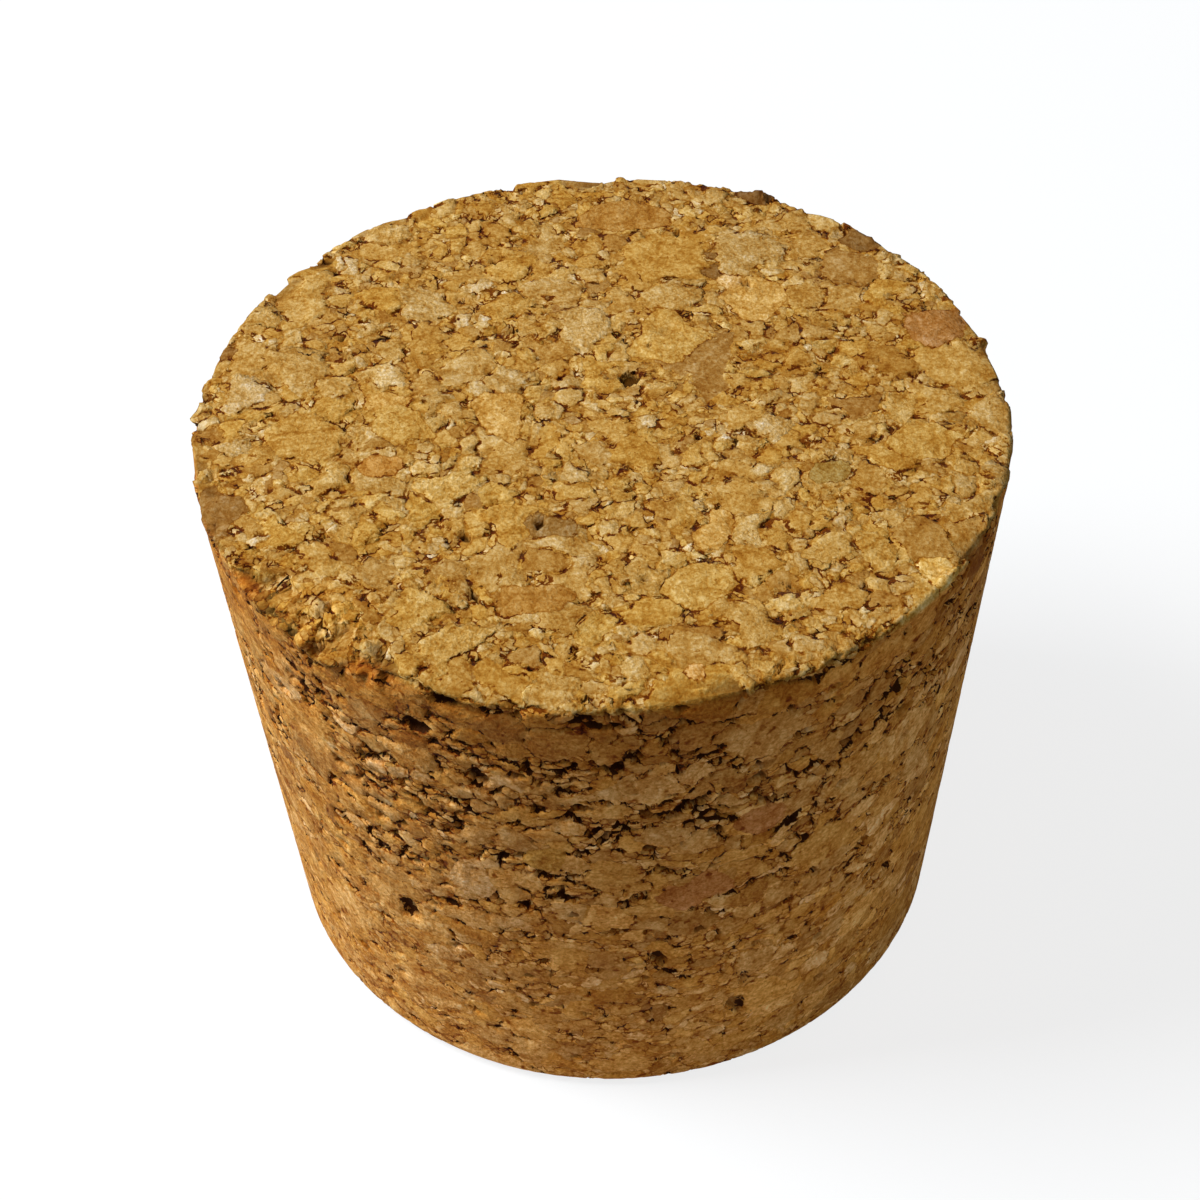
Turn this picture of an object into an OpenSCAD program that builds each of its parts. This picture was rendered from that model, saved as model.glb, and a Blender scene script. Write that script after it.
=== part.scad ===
// Tapered stopper of agglomerated cork.
// Cork granules are pressed and bonded into a block, and the plug is turned and ground
// from that block in one piece. Grinding opens the voids between the granules, and the
// wide end's edge has lost granules in places and carries a few proud crumbs.
// Frame: +Z up, origin at the centre of the narrow end, which the stopper stands on.

/* [Plug] */
// Diameter across the wide end
top_d = 50; // [36:0.5:80]
// Diameter across the narrow end
bottom_d = 44; // [30:0.5:76]
// Length between the two ends
length = 39; // [24:0.5:60]
// Edge rounding at the wide end
top_round = 0.5; // [0.2:0.1:1.5]
// Edge rounding at the narrow end
bottom_round = 1.2; // [0.3:0.1:2.5]

/* [Voids between granules] */
// Distance from one void to the next, which is one or two granules
void_pitch = 6.2; // [4:0.1:9]
// Width of a large void, along the granules
void_w = 2.6; // [0.8:0.1:3.4]
// Height of a large void on the wall, across the pressed granules
void_h = 1.3; // [0.4:0.1:2]
// Depth of a large void
void_depth = 1; // [0.5:0.1:2]
// Share of the places on the wall that hold a void
void_share = 0.85; // [0.2:0.05:1]
// Distance from the wide end down to the band of the wall with the largest voids
void_band_drop = 8; // [2:0.5:30]
// Height of that band
void_band = 12; // [4:0.5:40]
// Seed of the granule pattern
pattern_seed = 11; // [1:1:99]

/* [Crumbled corner] */
// Direction of the crumbled corner, counted from +X
chip_angle = -133; // [-180:1:180]
// Length of the crumbled corner along the rim
chip_len = 11; // [4:0.5:16]
// How far it reaches in over the wide end
chip_in = 3.2; // [1.2:0.1:5]
// How far it reaches down the wall
chip_down = 2; // [0.8:0.1:4]

/* [Rims] */
// Size of the granules torn from the wide end's rim
nick_size = 1.1; // [0.5:0.1:1.8]
// Height of the granules that stand proud of the wide end's rim
crumb_size = 1.2; // [0.6:0.1:1.8]

/* [Hidden] */

top_r = top_d / 2;
bottom_r = bottom_d / 2;
// Half angle of the taper
taper = atan((top_r - bottom_r) / length);
// Radius of the wall at height z
function wall_r(z) = bottom_r + (top_r - bottom_r) * z / length;

// How far a cutter starts outside the surface that it opens
lead = 1;
// Bare strip that the voids leave beside each edge
edge_strip = 1.8;
// Steps in each rounded edge
round_steps = 6;
// Corners in each ring of a granule
ring_corners = 5;
// Height of those rings above and below the granule's middle, and their radius
ring_lift = 0.45;
ring_r = 0.9;
// Turn from one point of a sunflower pattern to the next
golden_turn = 137.508;
// Granules that have broken away along one mm of the crumbled corner, and those left in it
bites_per_mm = 0.8;
crumbs_per_mm = 1.6;

// Points on an arc about c, from angle a0 to a1
function arc(c, r, a0, a1) = [
    for (i = [0 : round_steps])
        let (a = a0 + (a1 - a0) * i / round_steps)
        c + r * [cos(a), sin(a)]
];

// Random numbers of one granule or void, each from low to high
function draw(low, high, count, seed) = rands(low, high, count, 1000 * pattern_seed + seed);

// The plug before grinding opens it: a taper with two rounded edges
module plug_blank() {
    bottom_c = [bottom_r - bottom_round * (1 - sin(taper)) / cos(taper), bottom_round];
    top_c = [top_r - top_round * (1 + sin(taper)) / cos(taper), length - top_round];
    rotate_extrude($fn = 180)
        polygon(concat(
            [[0, 0]],
            arc(bottom_c, bottom_round, -90, -taper),
            arc(top_c, top_round, -taper, 90),
            [[0, length]]
        ));
}

// A void: a prism along +Z on a star with hollow sides, as left between rounded granules
module void_cutter(w, h, depth, seed) {
    corners = round(draw(3, 4, 1, seed)[0]);
    reach = draw(0.75, 1, corners, seed + 1);
    waist = draw(0.3, 0.55, corners, seed + 2);
    turn = draw(-20, 20, 1, seed + 3)[0];
    translate([0, 0, -depth])
        linear_extrude(height = depth + lead)
            scale([w / 2, h / 2])
                polygon([
                    for (i = [0 : 2 * corners - 1])
                        let (
                            k = floor(i / 2),
                            r = i % 2 == 0 ? reach[k] : waist[k],
                            a = turn + 180 * i / corners
                        )
                        r * [cos(a), sin(a)]
                ]);
}

// Places a cutter on the wall, its +Z pointing out of the wall and its +X along the rim
module on_wall(a, z) {
    rotate([0, 0, a])
        translate([wall_r(z), 0, z])
            rotate([90, 0, 90])
                children();
}

// Voids in the wall, on a lattice of granules whose places are pushed about
module wall_voids() {
    rows = max(1, floor((length - 2 * edge_strip) / void_pitch * 1.4));
    columns = floor(PI * (top_r + bottom_r) / void_pitch);
    row_h = (length - 2 * edge_strip) / rows;
    for (row = [0 : rows - 1])
        for (column = [0 : columns - 1]) {
            seed = 10 * (row * columns + column);
            luck = draw(0, 1, 5, seed + 4);
            z = edge_strip + row_h * (row + luck[1]);
            a = 360 / columns * (column + 0.5 * (row % 2) + 0.9 * luck[2]);
            // The voids are largest in their band and shrink away from it
            from_band = (length - z - void_band_drop) / void_band;
            size = 0.35 + 0.3 * luck[0] + 0.35 * exp(-4 * pow(from_band, 2));
            if (luck[3] < void_share)
                on_wall(a, z)
                    void_cutter(void_w * size, void_h * size, void_depth * (0.5 + luck[4] / 2), seed);
        }
}

// Voids in an end, on a sunflower pattern; they are smaller, since granules lie flat there
module end_voids(r, seed) {
    count = floor(PI * pow(r - edge_strip, 2) / pow(void_pitch, 2) * 0.8);
    for (i = [1 : count]) {
        luck = draw(0, 1, 4, seed + 10 * i);
        size = 0.3 + 0.5 * pow(luck[0], 2);
        a = golden_turn * i + 25 * luck[1];
        rotate([0, 0, a])
            translate([(r - edge_strip) * sqrt((i + luck[2] / 2) / (count + 1)), 0, 0])
                rotate([0, 0, 360 * luck[3]])
                    void_cutter(void_w * size, void_w * size / 2, void_depth / 2, seed + 10 * i);
    }
}

// A granule: two rings of corners between two poles, each corner pushed in or out
module granule(size, seed) {
    n = 2 * ring_corners;
    push = draw(0.7, 1.25, n + 2, seed);
    points = concat(
        [[0, 0, push[n]]],
        [
            for (i = [0 : n - 1])
                let (a = 360 * i / n, lift = i % 2 == 0 ? ring_lift : -ring_lift)
                push[i] * [ring_r * cos(a), ring_r * sin(a), lift]
        ],
        [[0, 0, -push[n + 1]]]
    );
    faces = [
        for (i = [0 : 2 : n - 2])
            let (u = 1 + i, v = 2 + i, w = 1 + (i + 2) % n, x = 2 + (i + 2) % n)
            each [[0, w, u], [u, w, v], [v, w, x], [n + 1, v, x]]
    ];
    polyhedron(points = [for (p = points) [p.x * size.x / 2, p.y * size.y / 2, p.z * size.z / 2]],
               faces = faces);
}

// Places a granule at the rim: at angle a, with inset in from the wall and drop below the end
module at_rim(a, inset, drop) {
    rotate([0, 0, a])
        translate([top_r - inset, 0, length - drop])
            children();
}

// Granules that have broken out of the crumbled corner
module chip_bites() {
    bites = ceil(chip_len * bites_per_mm);
    span = chip_len / top_r * 180 / PI;
    for (i = [0 : bites]) {
        luck = draw(0.8, 1.1, 3, 5000 + 10 * i);
        // The corner is deepest in its middle
        depth = 0.65 + 0.35 * sin(180 * i / bites);
        at_rim(chip_angle + span * (i / bites - 0.5), 0, 0)
            granule([2 * chip_in * depth * luck[0], 3.2 * luck[1], 2 * chip_down * depth * luck[2]],
                    5001 + 10 * i);
    }
}

// Loose granules that are left standing in the crumbled corner
module chip_crumbs() {
    crumbs = ceil(chip_len * crumbs_per_mm);
    span = 0.8 * chip_len / top_r * 180 / PI;
    for (i = [0 : crumbs]) {
        luck = draw(0, 1, 4, 6000 + 10 * i);
        size = 1 + 0.8 * luck[0];
        // They lie along the floor of the corner, which slopes from the end down to the wall
        along = luck[1];
        at_rim(chip_angle + span * (i / crumbs - 0.5),
               0.35 + (chip_in - 0.6) * (1 - along) * 0.75, 0.35 + (chip_down - 0.5) * along * 0.75)
            rotate([0, 0, 360 * luck[2]])
                granule([size, size, 0.8 * size], 6001 + 10 * i);
    }
}

// Single granules torn from the wide end's rim, all the way round
module rim_nicks() {
    nicks = floor(PI * top_d / (2 * void_pitch));
    for (i = [0 : nicks - 1]) {
        luck = draw(0, 1, 4, 7000 + 10 * i);
        size = nick_size * (0.5 + 0.7 * luck[0]);
        at_rim(360 / nicks * (i + 0.6 * luck[1]), -0.1 * size, 0.35 * size * (luck[2] - 0.3))
            granule([0.8 * size, (1.4 + luck[3]) * size, size], 7001 + 10 * i);
    }
}

// Smaller granules torn from the narrow end's rounded edge
module foot_nicks() {
    nicks = floor(PI * bottom_d / (3 * void_pitch));
    for (i = [0 : nicks - 1]) {
        luck = draw(0, 1, 3, 8000 + 10 * i);
        size = nick_size * (0.4 + 0.5 * luck[0]);
        rotate([0, 0, 360 / nicks * (i + 0.7 * luck[1])])
            translate([wall_r(bottom_round) - 0.1 * size, 0, bottom_round * (0.6 + 0.6 * luck[2])])
                granule([size, 1.8 * size, 0.8 * size], 8001 + 10 * i);
    }
}

// Granules that stand proud of the rim, and a sliver of cork lifted across it.
// Each row: angle, inset, drop, size along the rim, across it and upwards, in crumb sizes
rim_crumbs = [
    [63, 0.5, 0, [0.8, 1.1, 0.9]],
    [86, 0.5, 0.1, [0.5, 0.6, 0.5]],
    [43, 0.6, 0.1, [0.7, 0.9, 0.6]],
    [178, 0.25, 0.5, [1, 2, 0.8]],
    [-39, 0.45, 0.35, [0.9, 3, 0.8]],
    [-78, 0.9, 0.1, [0.5, 0.9, 0.8]]
];
module proud_crumbs() {
    for (i = [0 : len(rim_crumbs) - 1]) {
        crumb = rim_crumbs[i];
        at_rim(crumb[0], crumb[1], crumb[2])
            granule(crumb_size * crumb[3], 9001 + 10 * i);
    }
}

module cork_stopper() {
    color("#b98a48")
        union() {
            difference() {
                plug_blank();
                wall_voids();
                translate([0, 0, length])
                    end_voids(top_r, 3000);
                mirror([0, 0, 1])
                    end_voids(bottom_r, 4000);
                chip_bites();
                rim_nicks();
                foot_nicks();
            }
            chip_crumbs();
            proud_crumbs();
        }
}

cork_stopper();
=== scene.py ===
# %% [markdown]
# # A cork stopper
# A tapered plug is turned and ground from a block of agglomerated cork: granules of bark, up to 6
# mm wide, that were pressed together and bonded. Nothing on it is assembled, so the lesson is about
# one skin. The solid comes from the frame, with its true taper, its open voids and its torn rim. A
# skin of small faces is laid on it, the granules are embossed in that skin, and one pattern of
# nodes drives both the embossing and the colours, so that relief and paint always agree.

import bpy
import numpy as np
from mathutils import Matrix, Vector
from mathutils.bvhtree import BVHTree


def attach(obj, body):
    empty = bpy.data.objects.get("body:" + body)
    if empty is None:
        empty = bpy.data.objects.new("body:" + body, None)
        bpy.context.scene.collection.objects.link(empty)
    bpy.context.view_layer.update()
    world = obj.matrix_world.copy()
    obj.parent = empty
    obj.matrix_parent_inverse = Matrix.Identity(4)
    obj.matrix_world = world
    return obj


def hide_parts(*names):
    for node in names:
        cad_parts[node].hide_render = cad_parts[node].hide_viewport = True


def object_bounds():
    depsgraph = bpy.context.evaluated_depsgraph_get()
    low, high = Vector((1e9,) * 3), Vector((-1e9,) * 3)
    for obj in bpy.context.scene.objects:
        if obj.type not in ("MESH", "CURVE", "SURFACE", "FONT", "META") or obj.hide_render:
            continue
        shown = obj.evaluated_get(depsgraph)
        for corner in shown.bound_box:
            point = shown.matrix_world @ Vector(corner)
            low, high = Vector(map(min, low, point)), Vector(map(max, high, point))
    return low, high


MM = 0.001
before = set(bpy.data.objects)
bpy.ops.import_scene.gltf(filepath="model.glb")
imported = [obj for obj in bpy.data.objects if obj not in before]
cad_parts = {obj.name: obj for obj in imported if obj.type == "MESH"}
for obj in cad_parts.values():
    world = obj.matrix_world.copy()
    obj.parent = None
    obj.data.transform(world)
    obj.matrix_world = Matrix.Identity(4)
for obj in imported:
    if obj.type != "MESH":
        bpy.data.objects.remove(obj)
cad_box = [list(corner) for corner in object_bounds()]
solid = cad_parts["cork_stopper"]
print("the solid's box, m:", cad_box)

# %% [markdown]
# ## Measuring the plug
# The skin needs the plug as it was before grinding opened it: a plain taper between two flat ends.
# The solid has holes and chips, so single measurements can't be trusted. Rays are shot at the wall
# from all sides at two heights, and the median distance is the true radius, because most rays meet
# sound wall. The same is done for the flat top, with rays from above.

# %% Measure the taper and the length
def wall_radius(tree, height, rays=360):
    """The median distance from the axis at which rays from outside meet the wall, at one height."""
    reach = 2 * max(cad_box[1])
    hits = []
    for angle in np.arange(rays) * 2 * np.pi / rays:
        way = Vector((np.cos(angle), np.sin(angle), 0))
        place = tree.ray_cast(way * reach + Vector((0, 0, height)), -way)[0]
        if place is not None:
            hits.append(np.hypot(place.x, place.y))
    return float(np.median(hits))


def top_height(tree, rays=200):
    """The median height at which rays from above meet the large end, within half its radius."""
    turn = np.pi * (3 - 5**0.5)
    hits = []
    for i in range(rays):
        r = 0.5 * cad_box[1][0] * (i / rays) ** 0.5
        above = Vector((r * np.cos(i * turn), r * np.sin(i * turn), 1))
        place = tree.ray_cast(above, Vector((0, 0, -1)))[0]
        if place is not None:
            hits.append(place.z)
    return float(np.median(hits))


solid_tree = BVHTree.FromObject(solid, bpy.context.evaluated_depsgraph_get())
length = top_height(solid_tree)
low, high = 0.25 * length, 0.75 * length
slope = (wall_radius(solid_tree, high) - wall_radius(solid_tree, low)) / (high - low)
foot_r = wall_radius(solid_tree, low) - slope * low
top_r = foot_r + slope * length
print(f"length {length / MM:.2f} mm, radius {foot_r / MM:.2f} to {top_r / MM:.2f} mm")

# %% [markdown]
# ## The blank skin
# A disc is awkward as a fan, because its faces become needles at the centre. A square grid that is
# bent to a disc keeps its faces even. Its border has the same number of points on each side, so the
# ring of the wall starts right there, runs over the rounded edge, down the wall and round the foot,
# and ends on the border of a second disc. The whole skin is one closed sheet with no seam.

# %% A square grid bent to a disc
def disc(n):
    """A square grid of n + 1 points a side, bent to the unit disc. A point's distance from the
    centre is its larger coordinate, and its angle is an eighth turn times the ratio of the smaller
    one."""
    a, b = np.meshgrid(np.linspace(-1, 1, n + 1), np.linspace(-1, 1, n + 1), indexing="ij")
    wide = np.abs(a) >= np.abs(b)
    radius = np.where(wide, a, b)
    ratio = np.where(wide, b, a) / np.where(radius == 0, 1, radius)
    angle = np.where(wide, np.pi / 4 * ratio, np.pi / 2 - np.pi / 4 * ratio)
    return radius * np.cos(angle), radius * np.sin(angle)


def border(n):
    """The grid numbers of the disc's border, counter-clockwise from the corner at minus 45
    degrees."""
    grid = np.arange((n + 1) ** 2).reshape(n + 1, n + 1)
    return np.concatenate([grid[n, :-1], grid[:0:-1, n], grid[0, :0:-1], grid[:-1, 0]])


print("a disc of", disc(4)[0].size, "points has", len(border(4)), "on its border")

# %% The edge of the plug's section
TOP_ROUND = 0.5 * MM
FOOT_ROUND = 1.2 * MM


def meridian(step):
    """Radius, height and outward direction along the edge of the plug's section, from the top
    disc's border to the foot disc's. Two arcs are tangent to the flat ends and to the sloping
    wall."""
    lean = np.arctan(slope)
    top_c = top_r - TOP_ROUND * (1 + np.sin(lean)) / np.cos(lean), length - TOP_ROUND
    foot_c = foot_r - FOOT_ROUND * (1 - np.sin(lean)) / np.cos(lean), FOOT_ROUND
    pieces = []
    for (r, z), size, start, end in (
        (top_c, TOP_ROUND, np.pi / 2, -lean),
        (foot_c, FOOT_ROUND, -lean, -np.pi / 2),
    ):
        count = max(4, int(np.ceil(size * (start - end) / step)))
        turn = np.linspace(start, end, count + 1)
        pieces.append(np.stack([r + size * np.cos(turn), z + size * np.sin(turn), turn], 1))
    count = int(np.ceil(np.hypot(*(pieces[0][-1, :2] - pieces[1][0, :2])) / step))
    share = np.linspace(0, 1, count + 1)[1:-1, None]
    wall = pieces[0][-1] * (1 - share) + pieces[1][0] * share
    line = np.concatenate([pieces[0], wall, pieces[1]])
    return line[:, 0], line[:, 1], line[:, 2]


print("the section's edge has", len(meridian(MM)[0]), "points at 1 mm")

# %% Points of the skin
FACE = 0.16 * MM


def skin_points(n, radius, height, turn):
    """Points and outward directions: the top disc, the rings of the wall, and the foot disc."""
    x, y = (grid.ravel() for grid in disc(n))
    ring = border(n)
    around = np.arctan2(y[ring], x[ring])
    flat = np.zeros(x.size)
    ends = [np.stack([radius[k] * x, radius[k] * y, flat + height[k]], 1) for k in (0, -1)]
    up = np.stack([flat, flat, flat + 1], 1)

    def rings(r, z):
        level = np.repeat(z[:, None], len(ring), 1)
        rows = r[:, None] * np.cos(around), r[:, None] * np.sin(around), level
        return np.stack(rows, 2).reshape(-1, 3)

    wall = rings(radius[1:-1], height[1:-1])
    wall_out = rings(np.cos(turn[1:-1]), np.sin(turn[1:-1]))
    return np.concatenate([ends[0], wall, ends[1]]), np.concatenate([up, wall_out, -up])


side_faces = int(np.pi / 2 * top_r / FACE)
section = meridian(FACE)
points, outward = skin_points(side_faces, *section)
print("blank skin:", len(points), "points")

# %% One closed sheet
def skin_faces(n, rings):
    """Four-sided faces, counter-clockwise from outside, for the points in skin_points' order."""
    grid = np.arange((n + 1) ** 2).reshape(n + 1, n + 1)
    ring = border(n)
    cap = np.stack([grid[:-1, :-1], grid[1:, :-1], grid[1:, 1:], grid[:-1, 1:]], 2).reshape(-1, 4)
    second = grid.size + rings * len(ring)
    middle = grid.size + np.arange(rings * len(ring)).reshape(rings, len(ring))
    rows = np.concatenate([ring[None], middle, (ring + second)[None]])
    after = np.roll(rows, -1, axis=1)
    side = np.stack([rows[:-1], rows[1:], after[1:], after[:-1]], 2).reshape(-1, 4)
    return np.concatenate([cap, side, cap[:, ::-1] + second])


def new_mesh(name, points, faces):
    """A smooth-shaded mesh object in the scene."""
    mesh = bpy.data.meshes.new(name)
    mesh.from_pydata(points, [], faces)
    mesh.shade_smooth()
    piece = bpy.data.objects.new(name, mesh)
    bpy.context.scene.collection.objects.link(piece)
    return piece


skin = new_mesh("cork_skin", points, skin_faces(side_faces, len(section[0]) - 2))
print("blank skin:", len(skin.data.polygons), "faces")

# %% [markdown]
# ## Formulas as nodes
# The pattern of granules is needed twice: on the mesh, to emboss it, and in the material, to paint
# it. Geometry nodes and shader nodes share their mathematics and texture nodes, so one Python
# function can write the pattern into either tree. A small class makes those formulas readable: a
# wire is one socket, and adding or multiplying wires adds a node.

# %% Wires
class Wire:
    """One output socket. Arithmetic on it adds a Math node and gives that node's output."""

    def __init__(self, tree, socket):
        self.tree, self.socket = tree, socket

    def math(self, operation, *others):
        return node(self.tree, "ShaderNodeMath", [self, *others], operation=operation)

    def __add__(self, other):
        return self.math("ADD", other)

    def __sub__(self, other):
        return self.math("SUBTRACT", other)

    def __mul__(self, other):
        return self.math("MULTIPLY", other)

    def __truediv__(self, other):
        return self.math("DIVIDE", other)

    def __rsub__(self, other):
        return self.math("MULTIPLY_ADD", -1.0, other)

    def __neg__(self):
        return self * -1.0

    def over(self, other):
        """1 where this wire is larger than the other, and 0 elsewhere."""
        return self.math("GREATER_THAN", other)

    def ramp(self, low, high, start=0.0, end=1.0):
        """From start to end as this wire goes from low to high, smooth at both ends."""
        values = [self, low, high, start, end]
        return node(self.tree, "ShaderNodeMapRange", values, interpolation_type="SMOOTHSTEP")

    __radd__ = __add__


print("a wire can be added, multiplied and ramped")

# %% Nodes
def node(tree, kind, values=(), output=0, **settings):
    """Adds a node, gives its inputs the values or wires, in order or by name, and returns one
    output as a wire, or several for a tuple of names."""
    made = tree.nodes.new(kind)
    for name, value in settings.items():
        setattr(made, name, value)
    inputs = [s for s in made.inputs if s.enabled]
    outputs = [s for s in made.outputs if s.enabled]

    def find(sockets, key):
        return sockets[key] if isinstance(key, int) else next(s for s in sockets if s.name == key)

    for key, value in values.items() if isinstance(values, dict) else enumerate(values):
        if isinstance(value, Wire):
            tree.links.new(value.socket, find(inputs, key))
        else:
            find(inputs, key).default_value = value
    if isinstance(output, tuple):
        return [Wire(tree, find(outputs, name)) for name in output]
    return Wire(tree, find(outputs, output))


print("nodes can be added in one line each")

# %% Vectors, blends and noise
HALF = (0.5, 0.5, 0.5)


def vector(operation, a, *others):
    """A Vector Math node on wires and triples."""
    return node(a.tree, "ShaderNodeVectorMath", [a, *others], operation=operation)


def scaled(a, factor):
    """The vector a times a number, which may be a wire."""
    return node(a.tree, "ShaderNodeVectorMath", {"Vector": a, "Scale": factor}, operation="SCALE")


def centred(a):
    """A vector of numbers around 0.5, moved to lie around 0."""
    return vector("SUBTRACT", a, HALF)


def split(a):
    """The three numbers of a vector, each as a wire."""
    return node(a.tree, "ShaderNodeSeparateXYZ", [a], output=("X", "Y", "Z"))


def blend(share, a, b, kind="FLOAT"):
    """a where share is 0 and b where it is 1. Triples are blended with the kind VECTOR."""
    return node(share.tree, "ShaderNodeMix", [share, a, b], data_type=kind)


def noise(place, size, detail=0.0, rough=0.5, colour=False, shift=0.0):
    """Smooth noise around 0.5, whose lumps are about size across. With colour it gives a vector,
    and shift reads it from another place, so that no two noises are alike."""
    spot = vector("ADD", place, (shift, shift, shift)) if shift else place
    values = {"Vector": spot, "Scale": 1.0 / size, "Detail": detail, "Roughness": rough}
    return node(place.tree, "ShaderNodeTexNoise", values, output="Color" if colour else "Fac")


def attribute(tree, name, kind="FLOAT"):
    """One of a mesh's own attributes as a wire, in either kind of tree."""
    if tree.bl_idname == "GeometryNodeTree":
        read, output = "GeometryNodeInputNamedAttribute", "Attribute"
        return node(tree, read, [name], data_type=kind, output=output)
    output = "Fac" if kind == "FLOAT" else "Vector"
    return node(tree, "ShaderNodeAttribute", output=output, attribute_name=name)


print("vector, blend and noise helpers are ready")

# %% [markdown]
# ## Places on the plug
# The pattern is written in millimetres, since bark is sieved in millimetres. Two functions name
# places on the plug: on the large end by x and y, and on the side by an angle and a drop below the
# rim. A third gives the depth under the ideal skin as wires, which tells the wall from the end
# face.

# %% Places and depths in millimetres
LENGTH, TOP_R, FOOT_R = length / MM, top_r / MM, foot_r / MM


def on_face(x, y):
    """A place on the large end."""
    return (x, y, LENGTH)


def on_side(angle, drop, out=0.0):
    """A place on the side, at an angle from +X in degrees: the radius there is TOP_R - slope *
    drop."""
    r = TOP_R - slope * drop + out
    a = np.radians(angle)
    return (r * np.cos(a), r * np.sin(a), LENGTH - drop)


def depth_below(place):
    """How deep a place lies under the whole ideal skin, under the wall, and under the large end.
    Under the wall it is (FOOT_R + slope * z - distance from the axis) * cos(lean)."""
    x, y, z = split(place)
    from_axis = (x * x + y * y).math("SQRT")
    wall = (z * float(slope) + FOOT_R - from_axis) * float(np.cos(np.arctan(slope)))
    top = LENGTH - z
    return wall.math("MINIMUM", top).math("MINIMUM", z), wall, top


print("the rim in front is at", np.round(on_side(-90, 0), 2))

# %% [markdown]
# ## Marks that are known one by one
# Most granules are like their neighbours, but some catch the eye: pale and reddish ones on the
# large end, dark crumbs on the rim, single pits, and one corner that has crumbled. Each is an
# ellipsoid in a table. As nodes, so many would make the material too large to render. So numpy
# measures how far each point of the skin lies inside the nearest mark, and stores that on the
# points. The embossing and the material then read one stored number for each table.

# %% Granules that catch the eye on the large end
PALE, TAN, PINK = (1.14, 1.16, 1.24), (1.06, 1.08, 1.04), (0.84, 0.70, 0.8)
BROWN, GREY, DARK = (0.82, 0.70, 0.55), (0.66, 0.66, 0.85), (0.5, 0.44, 0.45)
END_GRANULES = (
    # middle, half widths along x, y and z in mm, tint
    (on_face(4.2, 6.8), (2.5, 2.9, 2.0), TAN),
    (on_face(-6.2, 0.0), (1.8, 2.1, 2.0), PALE),
    (on_face(-12.5, -0.9), (2.3, 1.6, 2.0), TAN),
    (on_face(-13.9, 1.7), (1.6, 1.0, 2.0), PALE),
    (on_face(6.5, -11.4), (1.3, 1.6, 2.0), PALE),
    (on_face(21.2, 7.5), (1.9, 1.8, 2.0), PINK),
    (on_face(2.0, 20.2), (2.7, 1.5, 2.0), BROWN),
    (on_face(19.7, -3.6), (2.2, 1.8, 2.0), TAN),
    (on_face(5.7, -15.6), (2.1, 1.7, 2.0), TAN),
    (on_face(-3.1, -10.4), (1.6, 1.0, 2.0), GREY),
    (on_face(10.4, 10.9), (2.1, 2.0, 2.0), PALE),
    (on_face(-4.2, -16.1), (2.0, 1.2, 2.0), BROWN),
    (on_face(7.5, 15.3), (0.8, 1.4, 2.0), DARK),
    (on_face(-3.1, 11.4), (0.6, 0.9, 2.0), DARK),
    (on_face(18.5, -9.9), (0.5, 0.4, 2.0), (0.7, 0.35, 0.3)),
    (on_face(-13.5, -4.2), (0.8, 0.8, 2.0), (0.95, 0.8, 0.65)),
    (on_face(8.8, 12.7), (0.5, 0.5, 2.0), (1.35, 1.5, 2.3)),
    (on_face(13.3, -6.2), (1.0, 0.9, 2.0), (0.72, 0.78, 0.8)),
    (on_face(4.9, -23.0), (0.5, 1.0, 1.0), (1.3, 1.35, 1.9)),
)
print(len(END_GRANULES), "granules on the large end")

# %% Granules that catch the eye on the rim and the side
SIDE_GRANULES = (
    # middle, half widths along x, y and z in mm, tint
    (on_side(-39, 0.3, -0.3), (1.3, 1.5, 0.8), (1.4, 1.55, 1.8)),
    (on_side(63, 0.0), (1.1, 1.1, 1.5), (0.42, 0.36, 0.4)),
    (on_side(43, 0.0, -0.6), (1.0, 1.0, 1.0), DARK),
    (on_side(-160, 0.3, -0.3), (1.2, 1.8, 0.9), (0.6, 0.52, 0.5)),
    (on_side(163, 0.2, -0.5), (1.0, 1.3, 0.8), (0.6, 0.52, 0.5)),
    (on_side(-57, 18.0), (2.8, 2.8, 1.9), TAN),
    (on_side(-78, 18.0), (2.0, 2.0, 1.5), PINK),
    (on_side(-137, 10.8), (1.7, 1.7, 1.0), PALE),
    (on_side(-69, 12.4), (1.5, 1.5, 1.2), PINK),
    (on_side(-90, 15.0), (1.6, 1.6, 1.2), TAN),
    (on_side(-99, 13.8), (1.3, 1.3, 0.9), (0.95, 1.0, 0.85)),
)
print(len(SIDE_GRANULES), "granules on the rim and the side")

# %% Single pits and the crumbled corner
PITS = (
    # middle, half widths along x, y and z in mm
    (on_side(-116, 3.8), (0.5, 0.5, 0.35)),
    (on_side(-83, 0.7), (1.3, 1.0, 0.35)),
    (on_side(-75, 1.1), (0.8, 0.8, 0.3)),
    (on_side(-113, 1.0), (0.5, 0.5, 0.3)),
    (on_face(1.8, 3.4), (0.5, 0.6, 0.6)),
    (on_side(-107, 7.5), (0.5, 0.5, 0.6)),
    (on_side(-89, 5.4), (0.5, 0.5, 0.8)),
    (on_side(-47, 15.0), (0.9, 0.9, 0.9)),
    (on_side(-96, 18.5), (0.5, 0.5, 0.8)),
    (on_side(-111, 16.2), (0.5, 0.5, 0.8)),
    (on_side(-84, 24.5), (0.4, 0.4, 0.8)),
    (on_side(-70, 32.0), (0.35, 0.35, 1.7)),
    (on_side(-123, 23.0), (0.6, 0.6, 0.7)),
    (on_side(-60, 3.8), (0.9, 0.7, 0.45)),
    (on_side(-63, 0.7), (0.5, 0.5, 0.3)),
    (on_side(-47, 1.2), (0.6, 0.6, 0.5)),
    (on_side(-47, 6.4), (0.5, 0.5, 0.7)),
)
CORNER = ((on_side(-134, 0.0, -0.3), (4.3, 4.3, 2.1)),)
print(len(PITS), "pits and", len(CORNER), "crumbled corner")

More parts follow.
